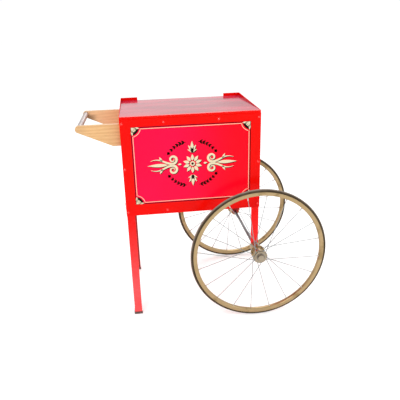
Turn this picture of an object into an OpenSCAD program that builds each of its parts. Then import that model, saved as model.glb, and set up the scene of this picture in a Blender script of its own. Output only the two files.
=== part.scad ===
// Two-wheeled cabinet cart for a popcorn machine.
// Millimetres, +Z up, front of the cabinet towards -Y, push handle towards -X, wheels towards +X.
// The origin is on the floor, under the middle of the whole cart.

/* [Cabinet] */
// Width of the cabinet, left side to right side
cab_w = 586; // [480:1:700]
// Depth of the cabinet, front to back
cab_d = 434; // [380:1:520]
// Height of the cabinet, from its underside to the top of the deck
cab_h = 430; // [390:1:520]
// Height of the cabinet's underside above the floor
cab_lift = 498; // [450:1:560]
// Thickness of the sheet metal
sheet = 1.5; // [1:0.1:2]
// Outside radius of a folded edge
fold_r = 3; // [2.2:0.1:4]
// Width of the side panels' flange behind the front panel
front_flange = 16; // [14:1:22]
// Width of the side panels' return across the back
stile_w = 80; // [70:1:95]
// Height of the deck rail at the back, above the deck
rail_rise = 14; // [10:1:35]
// Height of the deck's edge at the front
deck_edge = 10; // [8:1:14]
// Depth of the deck's side and back skirts
deck_skirt = 22; // [18:1:30]
// Height of the floor panel's upturned flanges
floor_flange = 25; // [22:1:32]
// Depth of the front panel's folded upper edge
front_return = 14; // [10:1:20]
// Length of the rails' level stretch at the back
rail_level = 8; // [0:1:30]
// Height of the stiffening angle behind the front panel
brace_h = 27; // [22:1:32]
// Depth of the stiffening angle behind the front panel
brace_d = 20; // [12:1:30]

/* [Front plate] */
// Distance of the decorated plate's ends from the cabinet's sides
plate_side = 43; // [36:1:60]
// Distance of the plate's lower edge above the cabinet's underside
plate_low = 51; // [30:1:60]
// Distance of the plate's upper edge below the deck
plate_drop = 43; // [38:1:60]
// Thickness of the decorated plate
plate_t = 0.8; // [0.6:0.1:1.2]

/* [Rivets] */
// Radius of a rivet's head
rivet_head_r = 4.5; // [3.5:0.1:5]
// Height of a rivet's domed head
rivet_head_h = 1.8; // [1.2:0.1:2.4]
// Radius of a rivet's shank
rivet_r = 1.6; // [1.2:0.1:2]
// Distance from the cabinet's middle to the inner front rivets
rivet_mid_x = 115; // [60:1:160]
// Distance of the back rivets from the inner edge of the side panels' return
rivet_stile_inset = 21; // [14:1:22]
// Distance of the lowest rivets above the cabinet's underside
rivet_low = 16; // [14:1:17]
// Distance of the top row of front rivets below the deck
rivet_top = 28; // [24:1:31]
// Distance of the deck skirt rivets below the deck
skirt_rivet_drop = 12; // [10:1:13]

/* [Legs] */
// Width of each flange of the leg angle
leg_w = 34; // [30:1:40]
// Thickness of the leg angle
leg_t = 3; // [2:0.5:4]
// Length of leg inside the cabinet
leg_grip = 62; // [56:1:70]
// Height of a foot cap
foot_h = 12; // [10:1:16]
// Thickness of a foot cap's sole
foot_sole = 4; // [3:0.5:6]
// Thickness of a foot cap's wall
foot_wall = 2; // [1.5:0.1:3]
// Radius of a leg bolt's shank
bolt_r = 3; // [2.5:0.1:3.5]
// Radius of a leg bolt's head
bolt_head_r = 6; // [5:0.1:6.5]
// Height of a leg bolt's head
bolt_head_h = 3.2; // [2.5:0.1:4]
// Height of the lower leg bolt above the cabinet's underside
bolt_low = 31; // [29:1:33]
// Radius of a leg nut, over its corners
nut_r = 5.8; // [5:0.1:6.4]
// Height of a leg nut
nut_h = 5; // [4:0.1:6]
// Distance between a leg's two bolts
bolt_pitch = 17; // [14:1:18]

/* [Wheels] */
// Outside radius of a tyre
tyre_r = 305; // [250:1:320]
// Thickness of the tyre across the tread
tyre_w = 15.2; // [13:0.1:18]
// Height of the tread above the rim's two lips
tyre_proud = 11.5; // [9:0.5:14]
// Depth of the rim, from its lips to its inner face
rim_depth = 18; // [13:0.5:20]
// Thickness of the rim's floor
rim_floor = 3.5; // [3:0.1:4.5]
// Thickness of the rim's lips
rim_lip_t = 2.3; // [1.5:0.1:3]
// Distance of a wheel's middle plane from the cabinet's front or back
wheel_out = 80; // [68:1:120]
// Length of a hub
hub_l = 62; // [60:1:76]
// Distance between the middles of a hub's two spoke flanges
flange_gap = 46; // [42:1:50]
// Radius of a hub's spoke flanges
flange_r = 31.5; // [30.5:0.5:36]
// Thickness of a hub's spoke flanges
flange_t = 3; // [2.5:0.1:4]
// Radius of the circle of spoke holes in a hub flange
lacing_r = 28.5; // [28.2:0.1:29]
// Radius of a hub's barrel
barrel_r = 25; // [18:0.5:25]
// Angle of the first spoke's rim end, from the front of the wheel upwards
spoke_phase = -6.7; // [-18:0.1:18]
// Radius of a spoke
spoke_r = 1.3; // [1:0.05:1.5]
// Radius of a spoke's head pin
spoke_pin_r = 1.6; // [1.5:0.05:1.8]
// Radius of a spoke's head
spoke_head_r = 2.2; // [2:0.1:2.4]
// Thickness of a spoke's head
spoke_head_h = 1.2; // [0.8:0.1:1.6]
// Distance of the spoke holes from the rim's middle plane
rim_stagger = 2.5; // [1:0.1:3]
// Radius of a spoke nipple
nipple_r = 2.4; // [2:0.1:2.6]
// Length of a spoke nipple
nipple_l = 16; // [12:1:20]
// Radius of the axle
axle_r = 6.35; // [5:0.05:8]
// Outside radius of a wheel bush
bush_r = 12; // [10:0.5:14]
// Length of a wheel bush
bush_l = 20; // [14:1:26]
// Radius of an axle spacer sleeve
spacer_r = 22; // [18:0.5:24]
// Radius of an axle washer
washer_r = 18; // [15:0.5:22]
// Thickness of an axle washer
washer_t = 1.5; // [1:0.1:2]
// Radius of an axle cap
cap_r = 13; // [10:0.5:14]
// Length of an axle cap, its dome left out
cap_l = 9; // [7:0.5:12]
// Height of an axle cap's dome
cap_dome = 4; // [3:0.5:6]

/* [Handle] */
// Distance of a handle board's middle from the cabinet's front or back
board_inset = 42; // [38:1:70]
// Thickness of a handle board
board_t = 19; // [16:1:25]
// Height of a handle board at the cabinet
board_h = 91; // [80:1:110]
// Distance of a handle board's top below the deck
board_drop = 33.5; // [28:0.5:60]
// Distance of the crossbar's axis from the cabinet
grip_reach = 167.5; // [140:0.5:220]
// Radius of a handle board's round end
board_end_r = 14.5; // [13:0.5:20]
// Fall of a handle board's top edge from the cabinet to its end
board_fall = 0; // [0:0.5:10]
// Length of the level stretch under a handle board, next to the cabinet
board_flat = 33; // [10:1:60]
// Radius of the crossbar
bar_r = 11.5; // [9:0.5:12]
// Wall of the crossbar's tube
bar_wall = 1.5; // [1:0.1:3]
// Depth of the crossbar's sockets in the boards
socket_depth = 8; // [5:0.5:10]
// Radius of a handle screw's shank
screw_r = 2.5; // [2:0.1:3]
// Length of a handle screw's shank
screw_l = 55; // [40:1:70]
// Radius of a handle screw's head
screw_head_r = 5; // [4.5:0.1:6]
// Height of a handle screw's head
screw_head_h = 3; // [2.5:0.1:4]
// Distance of a handle screw from the board's upper or lower edge
screw_inset = 22; // [16:1:30]
// Width of a handle's backing plate
backing_w = 50; // [44:1:60]
// Thickness of a handle's backing plate
backing_t = 3; // [2:0.5:4]

/* [Door] */
// Width of the door opening
door_w = 285; // [200:1:292]
// Distance of the door opening's top below the deck
door_drop = 48; // [44:1:70]
// Height of the door opening's sill above the cabinet's underside
door_sill = 62; // [55:1:70]
// Gap around the door
door_gap = 2; // [1.5:0.1:3]
// Depth of the door's folded edges
door_depth = 15; // [12:1:20]
// Width of the door's inner lip
door_lip = 12; // [10:1:16]
// Length of a hinge
hinge_l = 60; // [45:1:80]
// Width of a hinge leaf beyond the knuckle
hinge_leaf = 21; // [17:1:22]
// Distance of a hinge leaf from the side panel's return
hinge_clear = 2; // [1:0.5:6]
// Thickness of a hinge leaf
hinge_t = 1.5; // [1:0.1:2]
// Radius of a hinge knuckle
knuckle_r = 3.5; // [3:0.1:4.5]
// Radius of a hinge pin
hinge_pin_r = 1.5; // [1.2:0.1:2]
// Distance of a hinge's middle from the door's upper or lower end
hinge_inset = 60; // [50:1:80]
// Radius of the door knob
knob_r = 14; // [12:0.5:18]
// Length of the door knob
knob_l = 24; // [20:1:30]
// Distance of the knob from the door's free edge
knob_inset = 30; // [25:1:50]
// Radius of the knob screw's shank
knob_screw_r = 2; // [1.5:0.1:2.5]
// Length of the knob screw inside the knob
knob_screw_l = 10; // [6:1:12]
// Length of the magnetic catch
catch_l = 46; // [36:1:60]
// Thickness of the magnetic catch's block
catch_t = 10; // [8:1:14]
// Width of the magnetic catch's foot
catch_foot = 14; // [12:1:20]
// Distance of the hinge rivets from a leaf's outer edge
leaf_rivet_inset = 7; // [6:0.5:8]
// Distance of the outer hinge rivets from a leaf's ends
leaf_rivet_end = 9; // [8:0.5:14]

/* [Hidden] */
$fn = 64;

// Clearances
fit = 0.05;      // radial, between a shank or shaft and its hole
slip = 0.3;      // between faces that must not rub
eps = 0.5;       // how far a cutting shape runs past what it cuts

// Places that follow from the cabinet
half_w = cab_w / 2;
half_d = cab_d / 2;
cab_top = cab_lift + cab_h;
deck_under = cab_top - sheet;
skin_in = half_w - sheet;             // inner face of the side panels
front_back = -half_d + sheet;         // back of the front panel
flange_back = front_back + sheet;     // back of the side panels' front flange
return_in = half_d - sheet;           // inner face of the side panels' back return
panel_in = return_in - sheet;         // inner face of the back panel
front_top = cab_top - deck_edge;      // upper edge of the front panel
brace_top = front_top - sheet - 2;    // upper edge of the front brace
tight = 0.2;                          // side gap of a panel that slides in between two others

// Wheels and legs
wheel_x = skin_in - leg_w / 2;
wheel_y = half_d + wheel_out;         // distance of a wheel's middle plane from the cart's
axle_z = tyre_r;
leg_front = flange_back;              // outer face of the front legs
leg_back = return_in;                 // outer face of the back legs
leg_top = cab_lift + leg_grip;
leg_notch = leg_w + eps;
hub_in = wheel_y - hub_l / 2;         // distance of a hub's inner end from the middle plane
hub_out = wheel_y + hub_l / 2;
rim_lip_r = tyre_r - tyre_proud;
rim_in_r = rim_lip_r - rim_depth;
rim_seat = rim_in_r + rim_floor;      // radius of the rim's floor, under the tyre
rim_w = tyre_w + 2 * rim_lip_t + 0.2;
washer_out = hub_out + slip + washer_t;
axle_end = washer_out + cap_l;
spokes = 20;
cross = 36;                           // turn of a spoke from its rim end to its hub end

// Handle
board_top = cab_top - board_drop;
board_low = board_top - board_h;
grip_x = -half_w - grip_reach;
grip_z = board_top - board_fall - board_end_r;
board_y = half_d - board_inset;       // distance of a board's middle from the cart's
board_in = board_y - board_t / 2;

// Door
door_left = -half_w + stile_w + hinge_clear + hinge_leaf;
door_right = door_left + door_w;
sill_z = cab_lift + door_sill;
lintel_z = cab_top - door_drop;
door_h = lintel_z - sill_z;
hinge_axis_y = return_in + knuckle_r;
knuckle_l = hinge_l / 3;
knob_x = door_right - door_gap - knob_inset;
door_mid_z = (sill_z + lintel_z) / 2;
door_back = return_in - door_depth;   // inner face of the door's lip
catch_gap = 0.4;
strike_t = 1;

// The whole cart is centred over the origin along X
cart_left = grip_x - board_end_r;
cart_right = wheel_x + tyre_r;
cab_x = -(cart_left + cart_right) / 2;

// Rivet places. Front: x, z, grip. Sides: y, z. Back: x, z, grip.
rivet_edge_x = half_w - front_flange / 2;
rivet_first = cab_lift + rivet_low;
rivet_last = cab_top - rivet_top;
rivet_rows = 4;
rivet_step = (rivet_last - rivet_first) / rivet_rows;
edge_rivets = [for (s = [-1, 1], i = [rivet_rows / 2, rivet_rows])
    [s * rivet_edge_x, rivet_first + i * rivet_step]];
leg_rivets = [for (s = [-1, 1]) [s * rivet_edge_x, rivet_first]];
low_rivets = [for (s = [-1, 1]) [s * rivet_mid_x, rivet_first]];
brace_rivets = [for (s = [-1, 1]) [s * rivet_mid_x, rivet_last]];
skirt_z = cab_top - skirt_rivet_drop;
side_skirt_rivets = [for (k = [-1, 0, 1]) [k * cab_d / 3, skirt_z]];
side_floor_rivets = [for (k = [-1, 1]) [k * cab_d / 4, rivet_first]];
stile_x = half_w - stile_w + rivet_stile_inset;
stile_rivets = [for (s = [-1, 1], i = [1 : rivet_rows - 1]) [s * stile_x, rivet_first + i * rivet_step]];
stile_top_rivets = [for (s = [-1, 1]) [s * stile_x, skirt_z]];
stile_low_rivets = [for (s = [-1, 1]) [s * stile_x, rivet_first]];

// A quarter of a fold: points round centre c from angle a, turning by t
function bend(c, r, a, t = 90) = [for (i = [0 : 4]) c + r * [cos(a + t * i / 4), sin(a + t * i / 4)]];

module in_cart() {
    translate([cab_x, 0, 0]) children();
}

// ---- Rivets and the holes they need ----

// A rivet along +Z: head under z = 0, shank through the grip, tail beyond it
module rivet(grip, head = rivet_head_h) {
    ball = (rivet_head_r ^ 2 + head ^ 2) / (2 * head);
    intersection() {
        translate([0, 0, ball - head]) sphere(r = ball, $fn = 48);
        translate([0, 0, -head]) cylinder(r = rivet_head_r, h = head);
    }
    translate([0, 0, -eps]) cylinder(r = rivet_r, h = grip + 1);
    translate([0, 0, grip]) cylinder(r = rivet_r + 1, h = 1.2);
}

module rivet_hole(grip) {
    translate([0, 0, -1]) cylinder(r = rivet_r + fit, h = grip + 2);
}

// Places children at each spot of the front, pointing backwards
module on_front(spots) {
    for (p = spots) translate([p.x, -half_d, p.y]) rotate([-90, 0, 0]) children();
}

// Places children at each spot of the back, pointing forwards
module on_back(spots) {
    for (p = spots) translate([p.x, half_d, p.y]) rotate([90, 0, 0]) children();
}

// Places children at each spot of the right side, pointing inwards
module on_right(spots) {
    for (p = spots) translate([half_w, p.x, p.y]) rotate([0, -90, 0]) children();
}

// ---- Cabinet ----

// Plan of a side panel: front flange, side and back return, as on the left of the cabinet
module side_plan() {
    outer = concat(
        [[-half_w + front_flange, front_back]],
        bend([-half_w + fold_r, front_back + fold_r], fold_r, 270, -90),
        bend([-half_w + fold_r, half_d - fold_r], fold_r, 180, -90),
        [[-half_w + stile_w, half_d], [-half_w + stile_w, return_in]]);
    inner = concat(
        bend([-half_w + fold_r, half_d - fold_r], fold_r - sheet, 90, 90),
        bend([-half_w + fold_r, front_back + fold_r], fold_r - sheet, 180, 90),
        [[-half_w + front_flange, flange_back]]);
    polygon(concat(outer, inner));
}

// Side panel: its upper edge rises above the deck towards the back as the deck's rail
module side_panel() {
    difference() {
        translate([0, 0, cab_lift]) linear_extrude(cab_h + rail_rise) side_plan();
        rail_slope();
        flange_top = cab_top - fold_r - slip;
        translate([-half_w + sheet, front_back - eps, flange_top])
            cube([front_flange, fold_r + sheet, rail_rise + 3]);
        on_front(edge_rivets) rivet_hole(2 * sheet);
        on_front(leg_rivets) rivet_hole(2 * sheet + leg_t);
        on_back(concat(stile_rivets, stile_top_rivets)) rivet_hole(2 * sheet);
        on_back(stile_low_rivets) rivet_hole(3 * sheet);
        mirror([1, 0, 0]) on_right(concat(side_skirt_rivets, side_floor_rivets)) rivet_hole(2 * sheet);
        mirror([1, 0, 0]) leg_bolt_places() bolt_hole();
    }
}

// What is cut away above the sloping rail
module rail_slope() {
    front = -half_d - eps;
    high = cab_top + rail_rise + eps;
    level = return_in - rail_level;
    translate([-half_w - eps, 0, 0]) rotate([90, 0, 90]) linear_extrude(stile_w + 2 * eps)
        polygon([[front, cab_top], [-half_d, cab_top], [level, high - eps], [level, high], [front, high]]);
}

module left_side_panel() {
    color("red") in_cart() difference() {
        side_panel();
        handle_screw_places() screw_hole();
    }
}

module right_side_panel() {
    color("red") in_cart() mirror([1, 0, 0]) side_panel();
}

// Where the deck's side skirts start, clear of the side panels' folds
skirt_front = flange_back + 1;

// Deck: flat sheet between the side panels, with a folded edge in front and skirts on the other sides
module top_deck() {
    edge = concat([[-half_d, front_top + slip]], bend([-half_d + fold_r, cab_top - fold_r], fold_r, 180, -90),
        [[return_in, cab_top], [return_in, cab_top - deck_skirt],
         [panel_in, cab_top - deck_skirt], [panel_in, deck_under]],
        bend([-half_d + fold_r, cab_top - fold_r], fold_r - sheet, 90, 90), [[front_back, front_top + slip]]);
    color("red") in_cart() difference() {
        union() {
            translate([-skin_in + tight, 0, 0]) rotate([90, 0, 90]) linear_extrude(2 * (skin_in - tight))
                polygon(edge);
            for (s = [-1, 1]) on_side(s)
                translate([skin_in - sheet - tight, skirt_front, cab_top - deck_skirt])
                    cube([sheet, panel_in - skirt_front, deck_skirt - sheet / 2]);
        }
        for (s = [-1, 1]) on_side(s) {
            on_right(side_skirt_rivets) rivet_hole(2 * sheet + tight);
            translate([skin_in - fold_r, return_in - fold_r, cab_top - deck_skirt - eps])
                cube([2 * fold_r, 2 * fold_r, deck_skirt + 2 * eps]);
        }
        on_back(stile_top_rivets) rivet_hole(2 * sheet);
    }
}

// Mirrors children to the left when s is -1
module on_side(s) {
    if (s < 0) mirror([1, 0, 0]) children();
    else children();
}

// Front panel: flat sheet with a folded upper edge
module front_panel() {
    outline = concat([[-half_d, cab_lift]], bend([-half_d + fold_r, front_top - fold_r], fold_r, 180, -90),
        [[front_return - half_d, front_top], [front_return - half_d, front_top - sheet]],
        bend([-half_d + fold_r, front_top - fold_r], fold_r - sheet, 90, 90), [[front_back, cab_lift]]);
    color("red") in_cart() difference() {
        translate([-half_w, 0, 0]) rotate([90, 0, 90]) linear_extrude(cab_w) polygon(outline);
        for (s = [-1, 1]) on_side(s)
            translate([half_w - front_flange - 1, front_back, front_top - fold_r - 1])
                cube([front_flange + 2, front_return, fold_r + 2]);
        on_front(concat(edge_rivets, low_rivets, brace_rivets)) rivet_hole(2 * sheet);
        on_front(leg_rivets) rivet_hole(2 * sheet + leg_t);
    }
}

// Decorated plate on the front panel
module front_plate() {
    color("crimson") in_cart() translate([-half_w + plate_side, -half_d - plate_t, cab_lift + plate_low])
        cube([cab_w - 2 * plate_side, plate_t, cab_h - plate_low - plate_drop]);
}

// Stiffening angle behind the front panel's upper edge
module front_brace() {
    span = 2 * (half_w - front_flange - 1);
    color("firebrick") in_cart() difference() {
        translate([-span / 2, front_back, brace_top - brace_h]) union() {
            cube([span, sheet, brace_h]);
            cube([span, brace_d, sheet]);
        }
        on_front(brace_rivets) rivet_hole(2 * sheet);
    }
}

// Floor panel: tray with upturned flanges, notched at the corners for the legs
module floor_panel() {
    x_in = skin_in - tight;
    y_len = panel_in - front_back;
    run_x = skin_in - leg_notch;
    color("red") in_cart() difference() {
        translate([0, 0, cab_lift]) union() {
            translate([-x_in, front_back, 0]) cube([2 * x_in, y_len, sheet]);
            translate([-run_x, front_back, 0]) cube([2 * run_x, sheet, floor_flange]);
            translate([-run_x, panel_in - sheet, 0]) cube([2 * run_x, sheet, floor_flange]);
            for (s = [-1, 1]) on_side(s) translate([x_in - sheet, leg_front + leg_notch, 0])
                cube([sheet, leg_back - leg_front - 2 * leg_notch, floor_flange]);
        }
        for (s = [-1, 1]) on_side(s) {
            translate([run_x, front_back - eps, cab_lift - eps])
                cube([leg_notch + eps, sheet + leg_notch + eps, floor_flange + 2 * eps]);
            translate([run_x, leg_back - leg_notch, cab_lift - eps])
                cube([leg_notch + eps, leg_notch + eps, floor_flange + 2 * eps]);
            on_right(side_floor_rivets) rivet_hole(2 * sheet + tight);
        }
        on_front(low_rivets) rivet_hole(2 * sheet);
        on_back(stile_low_rivets) rivet_hole(3 * sheet);
    }
}

// Back panel with the door opening
module back_panel() {
    run_x = skin_in - leg_notch;
    color("red") in_cart() difference() {
        translate([-run_x, panel_in, cab_lift]) cube([2 * run_x, sheet, cab_h - deck_skirt - slip]);
        translate([door_left, panel_in - eps, sill_z]) cube([door_w, sheet + 2 * eps, door_h]);
        on_back(stile_rivets) rivet_hole(2 * sheet);
        on_back(stile_low_rivets) rivet_hole(3 * sheet);
        frame_hinge_spots() rivet_hole(hinge_t + sheet);
    }
}

module front_rivets() {
    color("red") in_cart() {
        on_front(concat(edge_rivets, low_rivets, brace_rivets)) rivet(2 * sheet);
        on_front(leg_rivets) rivet(2 * sheet + leg_t);
    }
}

module side_rivets() {
    color("red") in_cart() for (s = [-1, 1]) on_side(s)
        on_right(concat(side_skirt_rivets, side_floor_rivets)) rivet(2 * sheet + tight);
}

module back_rivets() {
    color("red") in_cart() {
        on_back(concat(stile_rivets, stile_top_rivets)) rivet(2 * sheet);
        on_back(stile_low_rivets) rivet(3 * sheet);
    }
}

// ---- Legs ----

// A leg angle in its corner: the corner is at the origin, its flanges run along +X and +Y
module leg_angle(low, high) {
    translate([0, 0, low]) linear_extrude(high - low)
        polygon(concat(bend([fold_r, fold_r], fold_r, 180, 90),
            [[leg_w, 0], [leg_w, leg_t], [leg_t, leg_t], [leg_t, leg_w], [0, leg_w]]));
}

// Places children in the front left corner, or with s = 1 in the back left corner
module left_corner(s) {
    if (s < 0) translate([-skin_in, leg_front, 0]) children();
    else translate([-skin_in, leg_back, 0]) mirror([0, 1, 0]) children();
}

// Places children at the bolts of the right-hand legs, pointing inwards
module leg_bolt_places() {
    for (y = [leg_front + leg_w / 2, leg_back - leg_w / 2], k = [0, 1])
        translate([half_w, y, cab_lift + bolt_low + k * bolt_pitch]) rotate([0, -90, 0]) children();
}

module bolt_hole() {
    translate([0, 0, -1]) cylinder(r = bolt_r + fit, h = sheet + leg_t + 2);
}

// Front rivet and side bolt holes of the left-hand legs
module left_leg_holes(s) {
    if (s < 0) on_front(leg_rivets) rivet_hole(2 * sheet + leg_t);
    mirror([1, 0, 0]) leg_bolt_places() bolt_hole();
}

module left_leg(s) {
    color("red") in_cart() difference() {
        left_corner(s) leg_angle(foot_sole, leg_top);
        left_leg_holes(s);
    }
}

// Right-hand leg: ends in a round eye for the axle
module right_leg(s) {
    color("red") in_cart() mirror([1, 0, 0]) difference() {
        left_corner(s) {
            leg_angle(axle_z + leg_w / 2, leg_top);
            translate([0, 0, axle_z]) cube([leg_w, leg_t, leg_w / 2 + 1]);
            translate([leg_w / 2, leg_t, axle_z]) rotate([90, 0, 0]) cylinder(d = leg_w, h = leg_t);
        }
        left_leg_holes(s);
        translate([-wheel_x, 0, axle_z]) rotate([90, 0, 0])
            cylinder(r = axle_r + fit, h = 2 * cab_d, center = true);
    }
}

module front_left_leg() { left_leg(-1); }
module back_left_leg() { left_leg(1); }
module front_right_leg() { right_leg(-1); }
module back_right_leg() { right_leg(1); }

module leg_bolts() {
    grip = sheet + leg_t;
    color("silver") in_cart() for (s = [-1, 1]) on_side(s) leg_bolt_places() {
        translate([0, 0, -bolt_head_h]) cylinder(r = bolt_head_r, h = bolt_head_h);
        translate([0, 0, -eps]) cylinder(r = bolt_r, h = grip + eps + nut_h + 2);
    }
}

module leg_nuts() {
    color("silver") in_cart() for (s = [-1, 1]) on_side(s) leg_bolt_places()
        translate([0, 0, sheet + leg_t]) difference() {
            cylinder(r = nut_r, h = nut_h, $fn = 6);
            translate([0, 0, -1]) cylinder(r = bolt_r + fit, h = nut_h + 2);
        }
}

// Cap on a left leg's lower end, with an L-shaped pocket
module left_foot(s) {
    side = leg_w + 2 * foot_wall;
    color("dimgray") in_cart() left_corner(s) difference() {
        translate([-foot_wall, -foot_wall, 0]) union() {
            cube([side, leg_t + 2 * foot_wall, foot_h]);
            cube([leg_t + 2 * foot_wall, side, foot_h]);
        }
        translate([-fit, -fit, foot_sole]) {
            cube([leg_w + 2 * fit, leg_t + 2 * fit, foot_h]);
            cube([leg_t + 2 * fit, leg_w + 2 * fit, foot_h]);
        }
    }
}

module front_left_foot() { left_foot(-1); }
module back_left_foot() { left_foot(1); }

// ---- Axle ----

// Turns children's +Z to the axle's outward direction: towards the front when s is -1, else the back
module on_axle(s) {
    in_cart() translate([wheel_x, 0, axle_z]) {
        if (s < 0) rotate([90, 0, 0]) children();
        else mirror([0, 1, 0]) rotate([90, 0, 0]) children();
    }
}

// A ring round the axle from a to b, outwards
module ring(r, hole, a, b) {
    translate([0, 0, a]) difference() {
        cylinder(r = r, h = b - a);
        translate([0, 0, -eps]) cylinder(r = hole, h = b - a + 2 * eps);
    }
}

module axle() {
    color("dimgray") in_cart() translate([wheel_x, 0, axle_z]) rotate([90, 0, 0])
        cylinder(r = axle_r, h = 2 * axle_end, center = true);
}

module front_axle_spacer() {
    color("darkkhaki") on_axle(-1) ring(spacer_r, axle_r + fit, -leg_front, hub_in - slip - washer_t);
}

module back_axle_spacer() {
    color("darkkhaki") on_axle(1) ring(spacer_r, axle_r + fit, leg_back, hub_in - slip - washer_t);
}

module axle_washers() {
    color("silver") for (s = [-1, 1]) on_axle(s) {
        ring(washer_r, axle_r + fit, hub_in - slip - washer_t, hub_in - slip);
        ring(washer_r, axle_r + fit, hub_out + slip, washer_out);
    }
}

// Domed cap pressed over the axle's end
module axle_cap(s) {
    ball = (cap_r ^ 2 + cap_dome ^ 2) / (2 * cap_dome);
    color("darkkhaki") on_axle(s) {
        ring(cap_r, axle_r + fit, washer_out, axle_end + fit);
        translate([0, 0, axle_end + fit]) intersection() {
            translate([0, 0, cap_dome - ball]) sphere(r = ball);
            cylinder(r = cap_r, h = cap_dome);
        }
    }
}

module front_axle_cap() { axle_cap(-1); }
module back_axle_cap() { axle_cap(1); }

// ---- Wheels, modelled with the axis along +Z and the middle plane at z = 0 ----

module on_wheel(s) {
    on_axle(s) translate([0, 0, wheel_y]) children();
}

module tyre(s) {
    crown = tyre_w / 2;
    color("#4a4442") on_wheel(s) rotate_extrude($fn = 128) {
        translate([rim_seat + 0.1, -crown]) square([tyre_r - crown - rim_seat - 0.1, tyre_w]);
        intersection() {
            translate([tyre_r - crown, 0]) circle(r = crown, $fn = 32);
            translate([tyre_r - crown - 0.01, -crown]) square([tyre_w, tyre_w]);
        }
    }
}

// Point at a radius, an angle and a height
function polar(r, a, z) = [r * cos(a), r * sin(a), z];

// Where spoke n starts at its hub flange and ends in the rim
function spoke_turn(n) = (n % 2 == 0 ? -1 : 1) * (floor(n / 2) % 2 == 0 ? 1 : -1);
function spoke_side(n) = n % 2 == 0 ? 1 : -1;
function rim_angle(n) = spoke_phase + n * 360 / spokes;
function hub_angle(n) = rim_angle(n) + cross * spoke_turn(n);
function pin_foot(n) = polar(lacing_r, hub_angle(n), spoke_side(n) * flange_gap / 2);
function rod_lift() = flange_t / 2 + 0.8 + spoke_r;
function hub_end(n) = pin_foot(n) + [0, 0, spoke_turn(n) * rod_lift()];
function rim_end(n) = polar(rim_seat - 0.5, rim_angle(n), spoke_side(n) * rim_stagger);

// Turns children's +Z from a to b and puts their origin at a
module along(a, b) {
    d = b - a;
    translate(a) rotate([0, acos(d.z / norm(d)), atan2(d.y, d.x)]) children();
}

// Runs children once for each spoke, from its rim end towards its hub end
module from_rim() {
    for (n = [0 : spokes - 1]) along(rim_end(n), hub_end(n)) children();
}

module rim(s) {
    color("darkkhaki") on_wheel(s) difference() {
        rotate_extrude($fn = 128) difference() {
            translate([rim_in_r, -rim_w / 2]) square([rim_lip_r - rim_in_r, rim_w]);
            translate([rim_seat, -rim_w / 2 + rim_lip_t]) square([rim_lip_r, rim_w - 2 * rim_lip_t]);
        }
        from_rim() translate([0, 0, -3]) cylinder(r = nipple_r + 0.1, h = nipple_l, $fn = 24);
    }
}

module hub(s) {
    end = hub_l / 2;
    mid = flange_gap / 2;
    half_t = flange_t / 2;
    fillet = 5;
    profile = [[bush_r + 0.02, -end], [barrel_r - 1, -end], [barrel_r, -end + 1],
        [barrel_r, -mid - half_t], [flange_r, -mid - half_t], [flange_r, -mid + half_t],
        [barrel_r + 1, -mid + half_t], [barrel_r - 1, -mid + half_t + fillet],
        [barrel_r - 1, mid - half_t - fillet], [barrel_r + 1, mid - half_t],
        [flange_r, mid - half_t], [flange_r, mid + half_t],
        [barrel_r, mid + half_t], [barrel_r, end - 1], [barrel_r - 1, end], [bush_r + 0.02, end],
        [bush_r + 0.02, end - bush_l - 0.2], [bush_r - 2, end - bush_l - 0.2],
        [bush_r - 2, -end + bush_l + 0.2], [bush_r + 0.02, -end + bush_l + 0.2]];
    color("darkkhaki") on_wheel(s) difference() {
        rotate_extrude() polygon(profile);
        for (n = [0 : spokes - 1]) translate(pin_foot(n))
            cylinder(r = spoke_pin_r + 0.1, h = 2 * flange_t, center = true, $fn = 24);
    }
}

// Spokes: a pin with a head through the hub flange, and a straight rod to the nipple
module spoke_set(s) {
    reach = rod_lift() + spoke_r + flange_t / 2 + spoke_head_h;
    color("lightgray") on_wheel(s) for (n = [0 : spokes - 1]) {
        along(hub_end(n), rim_end(n))
            cylinder(r = spoke_r, h = norm(rim_end(n) - hub_end(n)) - 1.2, $fn = 24);
        translate(pin_foot(n))
            flip(spoke_turn(n)) translate([0, 0, -flange_t / 2 - spoke_head_h]) {
                cylinder(r = spoke_pin_r, h = reach, $fn = 24);
                cylinder(r = spoke_head_r, h = spoke_head_h, $fn = 24);
            }
    }
}

// Turns children upside down when s is -1
module flip(s) {
    if (s < 0) mirror([0, 0, 1]) children();
    else children();
}

module nipples(s) {
    color("silver") on_wheel(s) from_rim() difference() {
        cylinder(r = nipple_r, h = nipple_l, $fn = 24);
        translate([0, 0, 0.9]) cylinder(r = spoke_r + fit, h = nipple_l, $fn = 24);
    }
}

module bushes(s) {
    color("tan") on_wheel(s) for (a = [-hub_l / 2, hub_l / 2 - bush_l])
        ring(bush_r, axle_r + 0.07, a, a + bush_l);
}

module front_tyre() { tyre(-1); }
module front_rim() { rim(-1); }
module front_hub() { hub(-1); }
module front_spokes() { spoke_set(-1); }
module front_nipples() { nipples(-1); }
module front_bushes() { bushes(-1); }
module back_tyre() { tyre(1); }
module back_rim() { rim(1); }
module back_hub() { hub(1); }
module back_spokes() { spoke_set(1); }
module back_nipples() { nipples(1); }
module back_bushes() { bushes(1); }

// ---- Handle ----

// Outline of a board in the X-Z plane: level at the cabinet, then tapering to a round end
module board_outline() {
    break_x = -half_w - board_flat;
    to_end = [grip_x - break_x, grip_z - board_low];
    lean = atan2(to_end.y, to_end.x) + asin(board_end_r / norm(to_end));
    last = lean + 90;
    polygon(concat([[-half_w, board_low], [-half_w, board_top]],
        [for (i = [0 : 12]) [grip_x, grip_z] + board_end_r * [cos(90 + (last - 90) * i / 12),
            sin(90 + (last - 90) * i / 12)]],
        [[break_x, board_low]]));
}

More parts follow.
